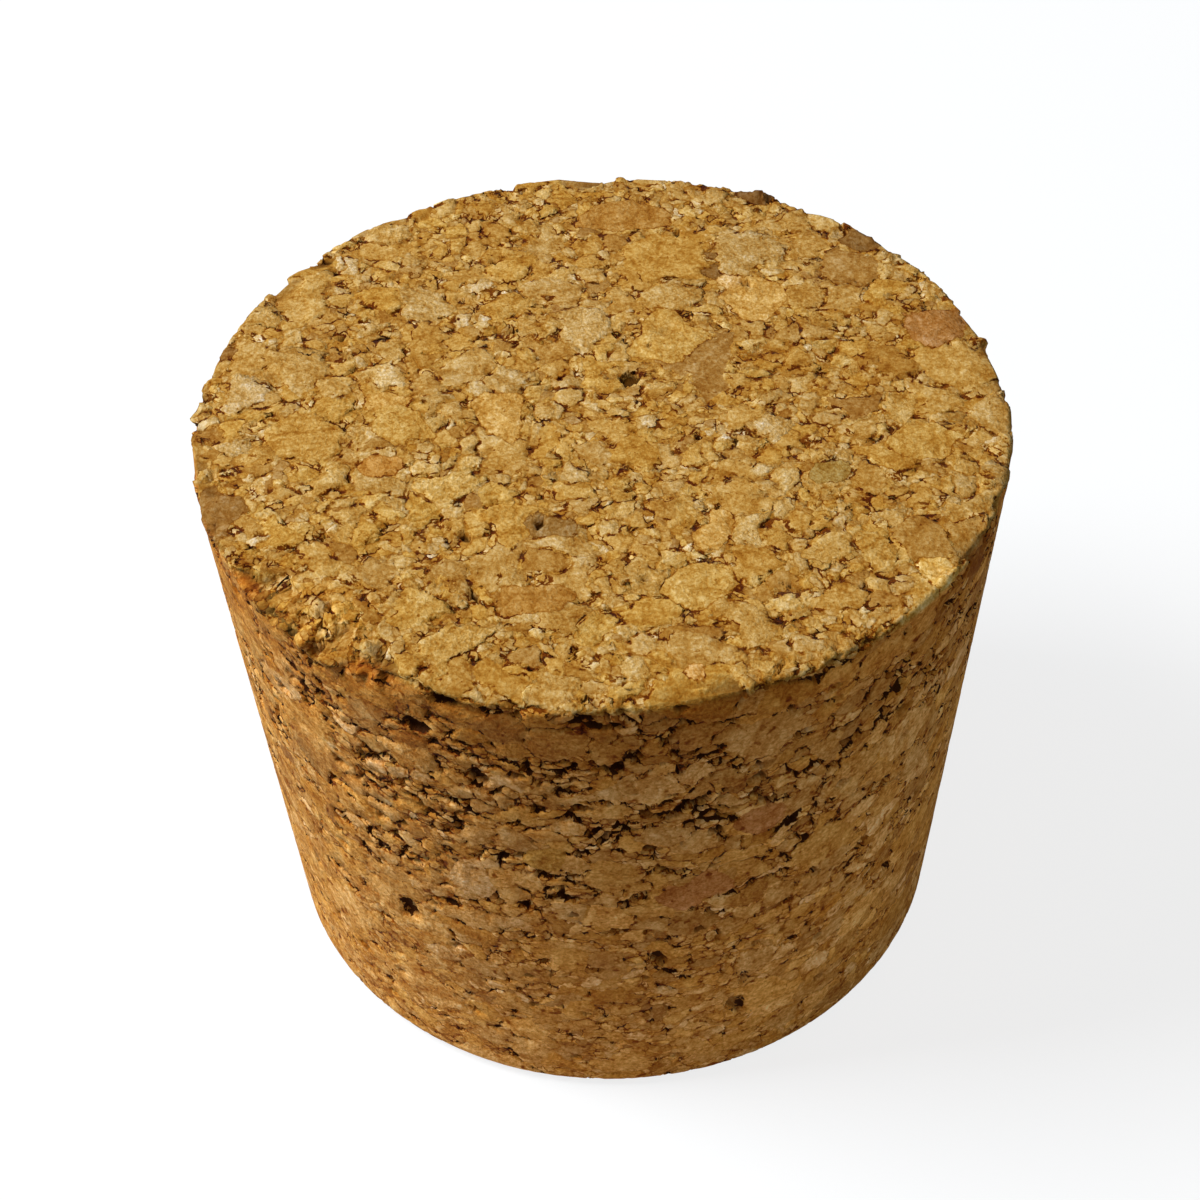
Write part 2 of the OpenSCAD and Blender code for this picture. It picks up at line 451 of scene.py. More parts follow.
# %% Store the marks on a mesh
OUTSIDE = -9.0  # mm: the number for a place that lies inside no mark or granule at all


def inside_nearest(spots, marks):
    """How far each spot lies inside the nearest mark, in mm, and which mark that is. Inside a mark
    it is (1 - length of (spot - middle) / half widths) * smallest half width."""
    best, which = np.full(len(spots), OUTSIDE), np.zeros(len(spots), int)
    for k, (middle, size, *_) in enumerate(marks):
        inside = (1 - np.linalg.norm((spots - middle) / size, axis=1)) * min(size)
        which[inside > best] = k
        best = np.maximum(best, inside)
    return best, which


def mesh_points(mesh):
    """A mesh's points as rows, in metres."""
    spots = np.empty(3 * len(mesh.vertices))
    mesh.vertices.foreach_get("co", spots)
    return spots.reshape(-1, 3)


def write_marks(mesh):
    """Stores on a mesh's points how far they lie inside known granules, pits and the corner, and
    the nearest known granule's tint."""
    spots = mesh_points(mesh) / MM
    known, which = inside_nearest(spots, END_GRANULES + SIDE_GRANULES)
    tints = np.array([tint for _, _, tint in END_GRANULES + SIDE_GRANULES])[which]
    numbers = {"known": known}
    for name, marks in (("pit", PITS), ("corner", CORNER)):
        numbers[name], _ = inside_nearest(spots, marks)
    for name in (*numbers, "tint"):
        if name in mesh.attributes:
            mesh.attributes.remove(mesh.attributes[name])
    for name, values in numbers.items():
        mesh.attributes.new(name, "FLOAT", "POINT").data.foreach_set("value", values)
    mesh.attributes.new("tint", "FLOAT_VECTOR", "POINT").data.foreach_set("vector", tints.ravel())


write_marks(skin.data)
print("marks are stored on", len(points), "points")

# %% [markdown]
# ## The granules
# Cork is ground to granules of very different sizes, mixed and pressed. A single cell texture gives
# cells of one size, like paving. Here layers are stamped over each other instead: fine crumbs fill
# everything, and each coarser layer keeps only some of its cells, which cover what lies under them.
# Before that, the places are shaken by two noises, a slow one that bends the granules and a fine
# one that makes their borders ragged. The granules also lie a little flat, as the block was
# pressed.

# %% Shake the places
FLATTEN, END_SLICE = 1.5, 48.75
BEND, BEND_SIZE = 2.0, 3.0
RAG, RAG_SIZE = 0.85, 0.8


def shaken(place):
    """The place + BEND * slow noise + RAG * ragged noise, with z times FLATTEN and the large end at
    END_SLICE; and the two noises."""
    slow = centred(noise(place, BEND_SIZE, detail=1.0, colour=True))
    ragged = centred(noise(place, RAG_SIZE, detail=3.0, rough=0.65, colour=True, shift=7.0))
    bent = vector("ADD", vector("ADD", place, scaled(slow, BEND)), scaled(ragged, RAG))
    lift = (0.0, 0.0, END_SLICE - FLATTEN * LENGTH)
    return vector("MULTIPLY_ADD", bent, (1.0, 1.0, FLATTEN), lift), slow, ragged


print(f"places are shaken by up to {BEND / 2 + RAG / 2:.1f} mm")

# %% [markdown]
# Grinding treats the two surfaces differently. The end face is cut clean, and only lines show
# between granules. On the wall the stone drags granules out, and three-sided voids open where
# several meet, most of all in a band near the rim. A corner has been knocked: its crumbs stand
# loose, and the wall around it is rubbed smooth. Each of these is a share between 0 and 1, and
# together they say how far the granules stand apart.

# %% Where the granules part
# A pair holds the numbers between which a share goes from 0 to 1: depths in mm, or noise values.
UNDER_WALL, UNDER_END, UNDER_RIM = (1.2, 0.5), (0.2, 0.8), (3.0, 0.8)
OPEN_NOISE, OPEN_SIZE = (0.46, 0.62), 1.0
CORNER_TORN, CORNER_LOOSE, CORNER_RUBBED, BAND_RUBBED = 4.0, (-0.4, 0.7), (-4.0, -1.0), 0.6
SOUND_GAP, CORNER_GAP, WALL_GAP, OPEN_GAPS, RIM_GAPS = 0.06, 0.03, 0.05, 1.4, 2.0
BAND, BAND_GAP, BAND_PATCH, PATCH_SIZE = (34.0, 12.0), 0.19, 0.22, 6.0


def parting(place, slow):
    """The shares on_wall, opened and crumbled, the depths, and how far the granules have parted, in
    mm: gap of sound cork + corner + wall * (1 + open borders + rim) + band * (gap + patches)."""
    below, wall, top = depth_below(place)
    on_wall = wall.ramp(*UNDER_WALL) * top.ramp(*UNDER_END)
    opened = noise(place, OPEN_SIZE, detail=3.0, shift=19.0).ramp(*OPEN_NOISE)
    corner = attribute(place.tree, "corner")
    crumbled = (corner + split(slow)[0] * CORNER_TORN).ramp(*CORNER_LOOSE)
    rubbed = corner.ramp(*CORNER_RUBBED)
    band = top.ramp(*BAND) * on_wall * (1.0 - rubbed * BAND_RUBBED)
    under_rim = top.ramp(*UNDER_RIM) * on_wall * (1.0 - rubbed)
    patchy = noise(place, PATCH_SIZE, detail=2.0, shift=31.0)
    on_ground = on_wall + opened * OPEN_GAPS * on_wall + under_rim * RIM_GAPS
    parted = SOUND_GAP + crumbled * CORNER_GAP + on_ground * WALL_GAP
    parted = parted + band * ((patchy - 0.5) * BAND_PATCH + BAND_GAP)
    return {
        "below": below, "top": top, "on_wall": on_wall, "opened": opened,
        "crumbled": crumbled, "parted": parted,
    }


print(f"voids are widest down to {BAND[1]:.0f} mm below the rim, and end at {BAND[0]:.0f} mm")

# %% [markdown]
# Each layer is a cell texture. It gives a cell's middle and the distance to it, but not the
# distance to the cell's border, which outlines need. The border is the plane halfway between the
# two nearest middles, so the distance to it follows from both of them, and costs less than the
# texture's own border mode, which searches the cells a second time. Where the nearest middle is far
# away, three or four cells meet, and that is where a void opens first.

# %% One layer of cells
STEP_LEAN = 2.0
LAYER_SHIFT = 13.7


def layer(bent, number, size, height, parted):
    """A layer's wires: the distance to the border (b * b - a * a) / (2 |p - q|), for the two
    nearest middles p and q at distances a and b; the void's depth; the granule's random triple; the
    way from its middle; its step, which is random and leans to one side; and the cell's chance to
    be kept."""
    tree = bent.tree
    spot = vector("ADD", scaled(bent, 1.0 / size), (LAYER_SHIFT * number,) * 3)
    values = {"Vector": spot, "Scale": 1.0}
    near, chance, middle = node(
        tree, "ShaderNodeTexVoronoi", values, output=("Distance", "Color", "Position")
    )
    second, other = node(
        tree, "ShaderNodeTexVoronoi", values, output=("Distance", "Position"), feature="F2"
    )
    apart = vector("DISTANCE", middle, other)
    tone = node(tree, "ShaderNodeTexWhiteNoise", {"Vector": middle}, output="Color")
    away = vector("SUBTRACT", spot, middle)
    lean = vector("DOT_PRODUCT", away, centred(tone))
    return {
        "edge": (second * second - near * near) / (apart * 2.0) * size,
        "gap": (near - 1.0) * size + parted,
        "tone": tone,
        "dome": away,
        "step": (split(tone)[2] - 0.5) * height + lean * (STEP_LEAN * height),
        "chance": split(chance)[0],
    }


print("a layer is one cell texture, read for its two nearest middles")

# %% [markdown]
# To stamp a layer, its distance to the border, less a margin, is positive inside a kept cell. The
# distance to the nearest edge of the pile is then the larger of that number and of the smaller of
# the old distance and minus that number: one line of arithmetic. The edges of the lower layers are
# also remembered, since the flakes inside a large granule show as faint lines.

# %% The pile of layers
LAYERS = (
    # cell size in mm, share of cells that are kept, height of the granules' steps in mm
    (0.75, 1.0, 0.05),
    (1.45, 0.6, 0.07),
    (2.7, 0.42, 0.09),
    (4.6, 0.16, 0.10),
)
MARGIN = 0.04
KINDS = {"gap": "FLOAT", "step": "FLOAT", "level": "FLOAT", "tone": "VECTOR", "dome": "VECTOR"}


def stamped(pile, upper, inside):
    """The pile with upper laid over it wherever inside, in mm, is positive."""
    here = inside.over(0.0)
    both = {name: blend(here, pile[name], upper[name], kind) for name, kind in KINDS.items()}
    return {**both, "edge": inside.math("MAXIMUM", pile["edge"].math("MINIMUM", -inside))}, here


def pile_of_layers(bent, around):
    """All layers stamped over each other, as wires."""
    for number, (size, share, height) in enumerate(LAYERS):
        new = layer(bent, number, size, height, around["parted"])
        if number == 0:
            pile = {**new, "level": new["edge"] * 0.0}
            continue
        kept = 1.0 - (new["chance"] + around["crumbled"]).over(share)
        inside = blend(kept, OUTSIDE, new["edge"] - MARGIN * size)
        flakes = pile["edge"] if number < len(LAYERS) - 1 else pile["flakes"]
        pile, _ = stamped(pile, {**new, "level": float(number)}, inside)
        pile["flakes"] = flakes
    return pile


print(len(LAYERS), "layers, cells of", [size for size, _, _ in LAYERS], "mm")

# %% The known marks on the pile
TORN_SLOW, TORN_RAGGED = 3.0, 0.9
MARK_LINE, MARK_OPEN, MARK_CRACK = (0.35, 0.05), 0.5, 0.3
MARK_TONE = (0.45, 0.5, 0.5)


def granules(place):
    """The whole pattern at a place in mm, as wires: the pile, the shares around it, and the tint of
    the known granules. Their outlines are torn by the same noises that shake the layers."""
    tree = place.tree
    bent, slow, ragged = shaken(place)
    around = parting(place, slow)
    pile = pile_of_layers(bent, around)
    flakes = pile["flakes"]
    torn = split(slow)[1] * TORN_SLOW + split(ragged)[1] * TORN_RAGGED
    inside = attribute(tree, "known") + torn
    near_edge = inside.math("ABSOLUTE").ramp(*MARK_LINE)
    open_edge = near_edge * (around["opened"] * MARK_OPEN + MARK_CRACK)
    around["opened"] = around["opened"].math("MAXIMUM", open_edge)
    one = {"gap": -1.0, "tone": MARK_TONE, "dome": (0.0, 0.0, 0.0)}
    pile, here = stamped(pile, {**pile, **one}, inside)
    tint = blend(here, (1.0, 1.0, 1.0), attribute(tree, "tint", "FLOAT_VECTOR"), "VECTOR")
    pile["gap"] = pile["gap"].math("MAXIMUM", attribute(tree, "pit") + torn)
    return {**around, **pile, "flakes": flakes, "tint": tint}


print("the pattern is complete")

# %% [markdown]
# ## Laying the skin on the solid
# A modifier made of geometry nodes reads both things that the skin must follow. A ray from just
# outside each point meets the solid at its true surface, in its voids, chips and proud crumbs. The
# pattern gives the granules at the same point. Both are stored on the points as named attributes.

# %% Ask the solid and the pattern at every point
LIFT = 1.5 * MM


def stored(mesh, name):
    """A float attribute of a mesh's points, as an array."""
    values = np.empty(len(mesh.vertices), np.float32)
    mesh.attributes[name].data.foreach_get("value", values)
    return values.astype(float)


def ask(skin, solid, names):
    """For each point of the skin: how far a ray from LIFT outside it goes to meet the solid, how
    squarely it meets it, and the granule pattern there."""
    tree = bpy.data.node_groups.new("ask the solid", "GeometryNodeTree")
    for way in ("INPUT", "OUTPUT"):
        tree.interface.new_socket("Geometry", in_out=way, socket_type="NodeSocketGeometry")
    place = node(tree, "GeometryNodeInputPosition")
    out = attribute(tree, "outward", "FLOAT_VECTOR")
    ray = {
        "Target Geometry": node(tree, "GeometryNodeObjectInfo", [solid], output="Geometry"),
        "Source Position": vector("ADD", place, scaled(out, LIFT)),
        "Ray Direction": scaled(out, -1.0),
        "Ray Length": 4 * LIFT,
    }
    met, drop = node(tree, "GeometryNodeRaycast", ray, output=("Hit Normal", "Hit Distance"))
    facing = vector("DOT_PRODUCT", met, out)
    answers = {"drop": drop, "facing": facing, **granules(scaled(place, 1 / MM))}
    shape = node(tree, "NodeGroupInput")
    kind = {"data_type": "FLOAT", "domain": "POINT"}
    for name in names:
        values = {"Geometry": shape, "Name": name, "Value": answers[name]}
        shape = node(tree, "GeometryNodeStoreNamedAttribute", values, **kind)
    tree.links.new(shape.socket, tree.nodes.new("NodeGroupOutput").inputs[0])
    skin.modifiers.new("ask", "NODES").node_group = tree
    mesh = skin.evaluated_get(bpy.context.evaluated_depsgraph_get()).data
    return {name: stored(mesh, name) for name in names}


ways = skin.data.attributes.new("outward", "FLOAT_VECTOR", "POINT")
ways.data.foreach_set("vector", outward.ravel())
told = ask(skin, solid, ("drop", "facing", "edge", "gap", "step", "opened", "crumbled"))
skin.modifiers.clear()
skin.data.attributes.remove(skin.data.attributes["outward"])
print(f"the deepest hollow is {(told['drop'].max() - LIFT) / MM:.2f} mm")

# %% [markdown]
# ## Embossing
# The solid's sound wall is faceted, and the skin is truer there, so the ray's answer counts only
# where it meets a void, a chip or a crumb. Granules stand at slightly different heights, least on
# the ground wall and most on the rim, where nothing held them. A groove runs along opened borders.

# %% Emboss the granules
SOUND_DROP, SOUND_FACING = 0.05, 0.9
END_HEIGHTS = (LENGTH - 1.0, LENGTH - 0.3)
RIM_HEIGHTS, RIM_RADII = (LENGTH - 2.5, LENGTH - 0.8), (TOP_R - 2.0, TOP_R - 0.6)
WALL_STEP, TOP_STEP, LOOSE_STEP = 0.15, 0.85, 1.6
RIM_PROUD, RIM_NICK = 1.1, 5.0
GROOVE, OPEN_GROOVE, TOP_GROOVE, LOOSE_GROOVE, GROOVE_WIDTH = 0.02, 0.05, 0.05, 0.08, 0.08
VOID_DEPTH, VOID_SLOPE = 0.4, 0.10
RIM_CRUMB, CRUMB_SIZE, CRUMB_HEIGHT = on_side(63, 0.0), 0.9, 0.5


def smooth(values, low, high):
    """0 below low, 1 above high, and a smooth S between them."""
    t = np.clip((values - low) / (high - low), 0, 1)
    return t * t * (3 - 2 * t)


def relief(told, spots):
    """How far each spot moves outwards, in mm: minus the solid's drop, plus the granule's step
    times a factor for its place, minus the groove exp(-(edge / width)^2), minus the void, plus one
    crumb on the rim, height * exp(-(distance / size)^2)."""
    drop = (told["drop"] - LIFT) / MM
    drop = np.where((told["facing"] > SOUND_FACING) & (np.abs(drop) < SOUND_DROP), 0, drop)
    x, y, z = spots.T
    on_top = smooth(z, *END_HEIGHTS)
    at_rim = smooth(z, *RIM_HEIGHTS) * smooth(np.hypot(x, y), *RIM_RADII)
    loose = told["crumbled"]
    step = told["step"]
    rim = np.where(step > 0, RIM_PROUD, RIM_NICK) * at_rim
    granule = step * (WALL_STEP + TOP_STEP * on_top + rim + LOOSE_STEP * loose)
    groove = GROOVE + told["opened"] * (OPEN_GROOVE + TOP_GROOVE * on_top + LOOSE_GROOVE * loose)
    groove = groove * np.exp(-((told["edge"] / GROOVE_WIDTH) ** 2))
    void = VOID_DEPTH * smooth(told["gap"], 0.0, VOID_SLOPE)
    crumb = CRUMB_HEIGHT * np.exp(-((np.linalg.norm(spots - RIM_CRUMB, axis=1) / CRUMB_SIZE) ** 2))
    return -drop + granule - groove - void + crumb


def set_points(mesh, moved):
    """Gives a mesh new points, kept within the solid's box."""
    mesh.vertices.foreach_set("co", np.clip(moved, *cad_box).ravel())
    mesh.update()


rise = relief(told, points / MM)
set_points(skin.data, points + outward * rise[:, None] * MM)
print(f"relief from {rise.min():.2f} to {rise.max():.2f} mm")

# %% [markdown]
# ## Thinning
# Most of the small faces lie on flat granules, where they show nothing. Merging faces where the
# skin is flattest keeps them for the voids, the rim and the borders. The marks are measured again
# after it, because merged points have moved.

# %% Keep the small faces where the relief needs them
MOST_TRIANGLES = 196000


def thinned(piece, triangles):
    """Merges faces where the piece is flattest, until about that many triangles are left."""
    thin = piece.modifiers.new("thin", "DECIMATE")
    thin.ratio = min(1, triangles / (2 * len(piece.data.polygons)))
    result = piece.evaluated_get(bpy.context.evaluated_depsgraph_get())
    mesh = bpy.data.meshes.new_from_object(result)
    piece.modifiers.clear()
    piece.data = mesh
    mesh.shade_smooth()


thinned(skin, MOST_TRIANGLES)
set_points(skin.data, mesh_points(skin.data))
write_marks(skin.data)
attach(skin, "root")
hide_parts("cork_stopper")
print("finished skin:", len(skin.data.polygons), "faces")

# %% [markdown]
# ## Colours of bark
# Each granule keeps three random numbers from its layer. The first picks a colour from a palette
# that runs from dark lenticel brown over the usual tan to pale inner cork. The second turns it a
# little yellower or pinker. The ground wall is made paler and redder than the end face; the red
# part is painted warm light, bounced around in the wall's shade.

# %% A colour for each granule
PALETTE = (
    # place on the scale of the first random number, colour
    (0.00, (0.316, 0.147, 0.028)),
    (0.10, (0.408, 0.211, 0.044)),
    (0.30, (0.470, 0.257, 0.060)),
    (0.55, (0.510, 0.288, 0.072)),
    (0.80, (0.556, 0.327, 0.090)),
    (0.97, (0.642, 0.404, 0.137)),
)
WARMER, GREYER = (1.05, 0.97, 0.72), (0.99, 1.005, 1.17)
UNCHANGED = (1.0, 1.0, 1.0)
# Paler and redder wall: the red part is painted warm light bounced in the wall's shade.
WALL_TINT_AND_WARM_SHADE = (1.385, 1.08, 0.94)
FRESH_TINT = (1.05, 0.98, 0.82)


def picked(number, palette):
    """The palette's colour at a number between 0 and 1."""
    made = number.tree.nodes.new("ShaderNodeValToRGB")
    while len(made.color_ramp.elements) < len(palette):
        made.color_ramp.elements.new(0.5)
    for element, (at, colour) in zip(made.color_ramp.elements, palette):
        element.position, element.color = at, (*colour, 1)
    number.tree.links.new(number.socket, made.inputs[0])
    return Wire(number.tree, made.outputs[0])


def bark_colour(pile):
    """The granule's colour: palette * hue * known tint * tint of the wall (partly painted warm
    shade) * tint of fresh breaks."""
    first, second, _ = split(pile["tone"])
    colour = picked(first, PALETTE)
    ground = pile["on_wall"] * (1.0 - pile["crumbled"])
    for tint in (
        blend(second, WARMER, GREYER, "VECTOR"),
        pile["tint"],
        blend(ground, UNCHANGED, WALL_TINT_AND_WARM_SHADE, "VECTOR"),
        blend(pile["crumbled"], UNCHANGED, FRESH_TINT, "VECTOR"),
    ):
        colour = vector("MULTIPLY", colour, tint)
    return colour


print(len(PALETTE), "colours in the palette")

# %% [markdown]
# ## Light and dark within a granule
# Bark has growth lines, and every granule shows them its own way round. They are noise that is
# stretched: it changes fast along the granule's random direction and not at all across it. Mottling
# and grit lie over them, with a few dark specks, and stains on the wall. Near the rim the wall is
# also painted darker, as shade under the rim.

# %% Growth lines, mottling and grit
LINES_PER_MM, LINES_WAVE, WAVE_SIZE, LINES_APART = 2.2, 2.5, 0.7, 40.0
STREAK, MOTTLE, GRIT = 0.85, 1.25, 1.1
MOTTLE_SIZE, GRIT_SIZE, SPECK_SIZE, STAIN_SIZE = 1.3, 0.22, 0.3, 0.8
SPECK_NOISE, STAIN_NOISE = (0.70, 0.78), (0.62, 0.76)
SPECK_DARK, STAIN_DARK = 0.4, 0.6
# Painted shade under the rim: the wall darkens by this share at most, over this many mm below it.
RIM_SHADE, RIM_SHADE_DROP = 0.2, 10.0


def inner_light(place, pile):
    """How light the bark is, around 1, and the two fine noises: 1 + streak + mottle + grit, times
    the specks, the stains and painted shade on the wall towards the rim."""
    first, second, _ = split(pile["tone"])
    wave = noise(place, WAVE_SIZE, detail=3.0, rough=0.6)
    along = vector("DOT_PRODUCT", place, vector("NORMALIZE", centred(pile["tone"])))
    along = along * LINES_PER_MM + wave * LINES_WAVE
    streak = [along, first * LINES_APART, second * LINES_APART]
    streak = noise(node(place.tree, "ShaderNodeCombineXYZ", streak), 1.0, detail=3.0, rough=0.6)
    mottle = noise(place, MOTTLE_SIZE, detail=4.0, rough=0.72, shift=3.0)
    grit = noise(place, GRIT_SIZE, detail=3.0, rough=0.6, shift=12.0)
    light = 1.0 + (streak - 0.5) * STREAK + (mottle - 0.5) * MOTTLE + (grit - 0.5) * GRIT
    speck = noise(place, SPECK_SIZE, detail=1.0, shift=44.0).ramp(*SPECK_NOISE)
    stain = noise(place, STAIN_SIZE, detail=2.0, shift=61.0).ramp(*STAIN_NOISE)
    # Painted shade on the wall just under the rim.
    rim_shade = pile["top"].ramp(RIM_SHADE_DROP, 0.0)
    for share, dark in (
        (speck, SPECK_DARK),
        (stain * pile["on_wall"], STAIN_DARK),
        (rim_shade * pile["on_wall"], RIM_SHADE),
    ):
        light = light * (1.0 - share * dark)
    return light, mottle, grit


print(f"growth lines are about {1 / LINES_PER_MM:.1f} mm apart")

# %% [markdown]
# ## Borders between granules
# A border is not one line all round. Where the binder has let go, it is a thin dark crack with a
# painted highlight beside it, where a raised edge would catch the light; elsewhere it is only a
# change of colour. Along every border lies a soft band of painted shade, darker where it has
# cracked. The noise that opened the grooves decides this, and on the wall the nearness of a void
# does too.

# %% Cracks, painted shade and highlights, and flakes
NEAR_VOID, NEAR_VOID_CRACKED = (-0.18, -0.03), 0.75
CRACK_WIDTH, CRACK_WIDER, CRACK_DARK = 0.045, 0.05, 0.68
CRACK_OPEN, FAINT_END, FAINT_WALL = 0.9, 0.12, 0.08
# Painted shade: a soft darker band along each border, deeper where it has cracked.
HEM_WIDTH, BORDER_SHADE_DARK, BORDER_SHADE_FAINT = 0.25, 0.2, 0.03
FLAKE_WIDTH, FLAKE_DARK = 0.14, 0.16
# Painted highlight: a lighter strip beside a cracked border, where a raised edge catches the light.
HIGHLIGHT_BAND, HIGHLIGHT_GAIN = (0.20, 0.10), 0.12
CRUMB_CONTRAST, CRUMB_OPEN, CRUMB_CLOSED = 0.6, 0.7, 0.3


def border_light(pile):
    """How much the borders darken or lighten the bark, around 1, with the painted shade along them
    and the painted highlight beside cracks, and the share of cracked border."""
    edge = pile["edge"]
    near_void = pile["gap"].ramp(*NEAR_VOID)
    cracked = blend(pile["on_wall"], pile["opened"], near_void * NEAR_VOID_CRACKED)
    faint = blend(pile["on_wall"], FAINT_END, FAINT_WALL)
    crack = (edge - cracked * CRACK_WIDER).ramp(CRACK_WIDTH, 0.0) * (cracked * CRACK_OPEN + faint)
    # Painted shade along the borders.
    hem = edge.ramp(HEM_WIDTH, 0.0) * (cracked * BORDER_SHADE_DARK + BORDER_SHADE_FAINT)
    # Painted highlight beside cracked borders.
    edge_highlight = edge.ramp(*HIGHLIGHT_BAND) * cracked
    flake = pile["flakes"].ramp(FLAKE_WIDTH, 0.0)
    crumbs = pile["level"].ramp(1.0, 0.0) * (cracked * CRUMB_OPEN + CRUMB_CLOSED)
    crumbs = 1.0 + (split(pile["tone"])[2] - 0.5) * crumbs * CRUMB_CONTRAST
    light = (1.0 - crack * CRACK_DARK) * (1.0 - hem) * (1.0 + edge_highlight * HIGHLIGHT_GAIN)
    return light * (1.0 - flake * FLAKE_DARK) * crumbs, cracked


print(f"cracks are {2 * CRACK_WIDTH:.2f} mm wide")

# %% [markdown]
# ## Voids, and light on the granules
# Inside a void the colour is painted dark and warm, as the shade there: light that comes back out
# has met bark many times, so it is redder on the wall and browner on the end face. A void is known
# by the pattern, or by its depth below the ideal skin where the solid has one of its own. At the
# broken corner the hollows are shallow, so less shade is painted there, in the brown of fresh bark.
# Each granule's face also looks a slightly different way. Tilting the shading normal by its random
# numbers, and rounding it at open borders, catches the light without another face.

# %% Painted shade in voids, and the tilt of faces
# Painted shade: the colours inside voids on the end face, on the wall and in the corner's hollows.
VOID_SHADE_END, VOID_SHADE_WALL = (0.075, 0.027, 0.0012), (0.055, 0.0135, 0.0015)
FRESH_HOLLOW_SHADE = (0.19, 0.088, 0.014)
DEEP_SHADE, VOID_BORDER = (0.12, 0.6), (-0.02, 0.02)
CORNER_SHALLOW, CORNER_SPARED = (-2.0, 0.0), 0.7
FACE_TILT, DOME_OPEN, DOME_CLOSED = 0.45, 1.15, 0.4
WALL_FLATNESS = 0.6


def with_void_shade(colour, pile):
    """The colour outside voids, and painted shade, the void's dark colour, inside them."""
    corner = attribute(colour.tree, "corner").ramp(*CORNER_SHALLOW)
    # Painted shade by depth: the deeper a point lies below the ideal skin, the darker it is
    # painted.
    deep = pile["below"].ramp(*DEEP_SHADE) * (1.0 - pile["crumbled"]) * (1.0 - corner * CORNER_SPARED)
    void = pile["gap"].ramp(*VOID_BORDER).math("MAXIMUM", deep)
    inner = blend(pile["on_wall"], VOID_SHADE_END, VOID_SHADE_WALL, "VECTOR")
    inner = blend(pile["crumbled"], inner, FRESH_HOLLOW_SHADE, "VECTOR")
    return blend(void, colour, inner, "VECTOR")


def tipped_normal(pile, cracked):
    """The surface's normal + tilt * the granule's random way + dome * the way from its middle."""
    facing = node(pile["edge"].tree, "ShaderNodeNewGeometry", output="Normal")
    flat = 1.0 - pile["on_wall"] * WALL_FLATNESS
    tipped = vector("ADD", facing, scaled(centred(pile["tone"]), flat * FACE_TILT))
    domed = pile["edge"].ramp(HEM_WIDTH, 0.0) * (cracked * DOME_OPEN + DOME_CLOSED) * flat
    return vector("NORMALIZE", vector("ADD", tipped, scaled(pile["dome"], domed)))


print("voids and normals are ready")

# %% [markdown]
# ## The material
# Darker bark is also redder, so the light's green part is taken to a power above 1 and its blue
# part to a higher one, which is highest on the end face. The surface is matt, with a trace of sheen
# from the dust, and two of the noises roughen it.

# %% Ground cork
GREEN_POWER, BLUE_END, BLUE_WALL = 1.7, 3.6, 3.2
ROUGHNESS, SPECULAR = 0.85, 0.05
SHEEN, SHEEN_ROUGHNESS = 0.015, 0.5
MOTTLE_BUMP, GRIT_BUMP, BUMP_STRENGTH = 0.25, 0.10, 0.8


def shaded(colour, light, on_wall):
    """The colour times (light, light^g, light^b), where b differs on the end face and the wall."""
    blue = light.math("POWER", blend(on_wall, BLUE_END, BLUE_WALL))
    values = [light, light.math("POWER", GREEN_POWER), blue]
    return vector("MULTIPLY", colour, node(colour.tree, "ShaderNodeCombineXYZ", values))


def plain_material(name, roughness, specular):
    """A new material, its node tree and its one shader node."""
    made = bpy.data.materials.new(name)
    made.use_nodes = True
    shader = next(n for n in made.node_tree.nodes if n.type == "BSDF_PRINCIPLED")
    shader.inputs["Roughness"].default_value = roughness
    shader.inputs["Specular IOR Level"].default_value = specular
    return made, made.node_tree, shader


def cork_material():
    """Granule colours, times the two lights, with the voids, on a gritty surface."""
    made, tree, shader = plain_material("ground cork", ROUGHNESS, SPECULAR)
    place = scaled(node(tree, "ShaderNodeTexCoord", output="Object"), 1 / MM)
    pile = granules(place)
    inner, mottle, grit = inner_light(place, pile)
    borders, cracked = border_light(pile)
    colour = shaded(bark_colour(pile), inner * borders, pile["on_wall"])
    tree.links.new(with_void_shade(colour, pile).socket, shader.inputs["Base Color"])
    normal = node(tree, "ShaderNodeBump", {
        "Strength": BUMP_STRENGTH,
        "Distance": MM,
        "Height": mottle * MOTTLE_BUMP + grit * GRIT_BUMP,
        "Normal": tipped_normal(pile, cracked),
    }, output="Normal")
    tree.links.new(normal.socket, shader.inputs["Normal"])
    shader.inputs["Sheen Weight"].default_value = SHEEN
    shader.inputs["Sheen Roughness"].default_value = SHEEN_ROUGHNESS
    return made


skin.data.materials.clear()
skin.data.materials.append(cork_material())
print("the material has", len(skin.data.materials[0].node_tree.nodes), "nodes")

# %% [markdown]
# ## Paper and surroundings
# The plug stands on white paper in a white room. The camera should see white, but the object should
# not be flooded from all sides. So for camera rays the paper glows, less near the plug, where its
# shadow must show, and the world is white; for all other rays the paper is ordinary, turns dark
# away from the plug, and the world is dim.

# %% White paper and a dim room
# Each pair is a distance from the plug in metres, and the glow or the albedo there.
GLOW_FROM, GLOW_WHOLE = (0.12, 0.8), (0.35, 1.0)
NEAR, FAR = (0.045, 0.5), (0.13, 0.05)
PAPER_HALF = 2  # m
WHITE = (1, 1, 1, 1)
ROOM = 0.15


def seen_by_camera(tree):
    """1 for rays from the camera, and 0 for all others."""
    return node(tree, "ShaderNodeLightPath", output="Is Camera Ray")


